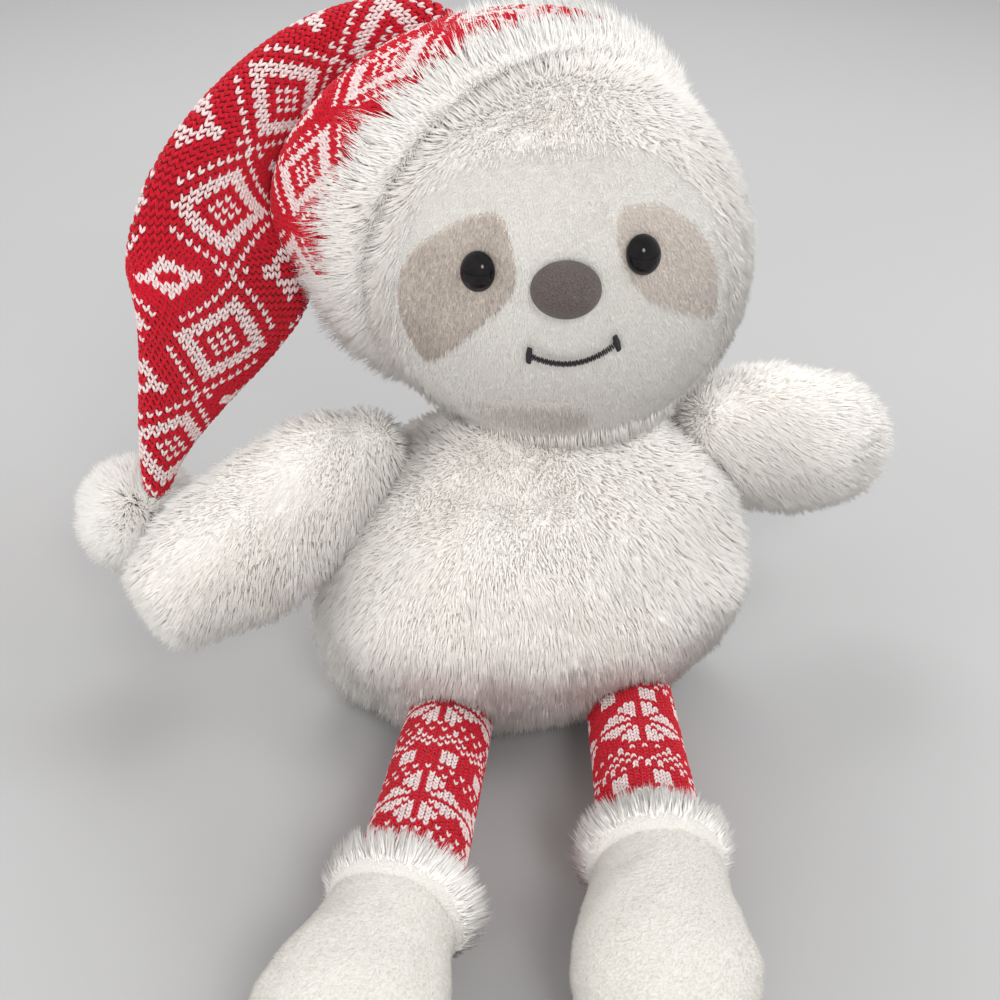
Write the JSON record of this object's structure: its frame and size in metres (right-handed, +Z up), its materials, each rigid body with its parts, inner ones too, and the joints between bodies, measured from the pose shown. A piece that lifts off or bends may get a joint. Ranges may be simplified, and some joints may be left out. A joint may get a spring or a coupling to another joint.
{
  "type": "plush toy sloth",
  "caption": "Seated plush toy sloth in a long folded knitted hat with a pompom, with knitted legs, fluffy cuffs and movable head, arms, legs, feet and hat.",
  "frame": {"origin": "centre of the flat seat under the body, on the surface that the toy sits on", "axes": "+Z up, -Y the way the body faces with the legs stretched out, +X to the toy's left, the picture's right"},
  "size_m": [0.3571, 0.3514, 0.2827],
  "materials": {
    "white_pile": "long white plush pile",
    "short_white_pile": "short white plush pile",
    "taupe_pile": "short taupe plush pile",
    "red_knit": "red and white jacquard knit",
    "black_plastic": "polished black",
    "brown_flock": "flocked brown-grey",
    "black_thread": "embroidered",
    "white_filling": "polyester fibre",
    "bag_cloth": "plain woven",
    "washer_plastic": "moulded"
  },
  "bodies": {
    "torso": {"body_cover": "white_pile", "body_filling": "white_filling", "pellet_bag": "bag_cloth"},
    "head": {"head_cover": "white_pile", "face_panel": "short_white_pile", "eye_patch_left": "taupe_pile", "eye_patch_right": "taupe_pile", "chin_patch": "taupe_pile", "head_filling": "white_filling", "eye_right": "black_plastic", "eye_right_washer": "washer_plastic", "eye_left": "black_plastic", "eye_left_washer": "washer_plastic", "nose": "brown_flock", "nose_washer": "washer_plastic", "mouth_stitch": "black_thread", "hat_brim": "white_pile", "hat_crown": "red_knit"},
    "hat_tail": {"hat_tail": "red_knit"},
    "pompom": {"hat_pompom": "white_pile"},
    "arm_right": {"arm_right_cover": "white_pile", "arm_right_filling": "white_filling"},
    "leg_right": {"leg_right_sleeve": "red_knit", "leg_right_filling": "white_filling"},
    "foot_right": {"foot_right_cover": "short_white_pile", "foot_right_filling": "white_filling", "foot_right_cuff": "white_pile"},
    "arm_left": {"arm_left_cover": "white_pile", "arm_left_filling": "white_filling"},
    "leg_left": {"leg_left_sleeve": "red_knit", "leg_left_filling": "white_filling"},
    "foot_left": {"foot_left_cover": "short_white_pile", "foot_left_filling": "white_filling", "foot_left_cuff": "white_pile"}
  },
  "joints": [
    {"name": "neck_nod", "type": "hinge", "parent": "torso", "child": "head", "pos_m": [0.00534, 0.01243, 0.10677], "axis": [1, 0, 0], "range_deg": [-10, 12]},
    {"name": "arm_right_swing", "type": "hinge", "parent": "torso", "child": "arm_right", "pos_m": [-0.064, 0.018, 0.115], "axis": [-1, 0, 0], "range_deg": [-10, 60]},
    {"name": "arm_left_swing", "type": "hinge", "parent": "torso", "child": "arm_left", "pos_m": [0.08, 0.027, 0.107], "axis": [-1, 0, 0], "range_deg": [-10, 60]},
    {"name": "leg_right_swing", "type": "hinge", "parent": "torso", "child": "leg_right", "pos_m": [-0.037, -0.027, 0.021], "axis": [-1, 0, 0], "range_deg": [-35, 10]},
    {"name": "leg_left_swing", "type": "hinge", "parent": "torso", "child": "leg_left", "pos_m": [0.037, -0.017, 0.021], "axis": [-1, 0, 0], "range_deg": [-35, 10]},
    {"name": "ankle_right_flex", "type": "hinge", "parent": "leg_right", "child": "foot_right", "pos_m": [-0.07309, -0.14503, 0.03294], "axis": [-1, 0, 0], "range_deg": [-20, 20]},
    {"name": "ankle_left_flex", "type": "hinge", "parent": "leg_left", "child": "foot_left", "pos_m": [0.01769, -0.1389, 0.03294], "axis": [-1, 0, 0], "range_deg": [-20, 20]},
    {"name": "hat_flop", "type": "hinge", "parent": "head", "child": "hat_tail", "pos_m": [-0.02686, 0.09923, 0.2652], "axis": [0, 1, 0], "range_deg": [0, 30]},
    {"name": "pompom_swing", "type": "hinge", "parent": "hat_tail", "child": "pompom", "pos_m": [-0.1543, 0.04691, 0.08928], "axis": [0, 1, 0], "range_deg": [-20, 20]}
  ]
}
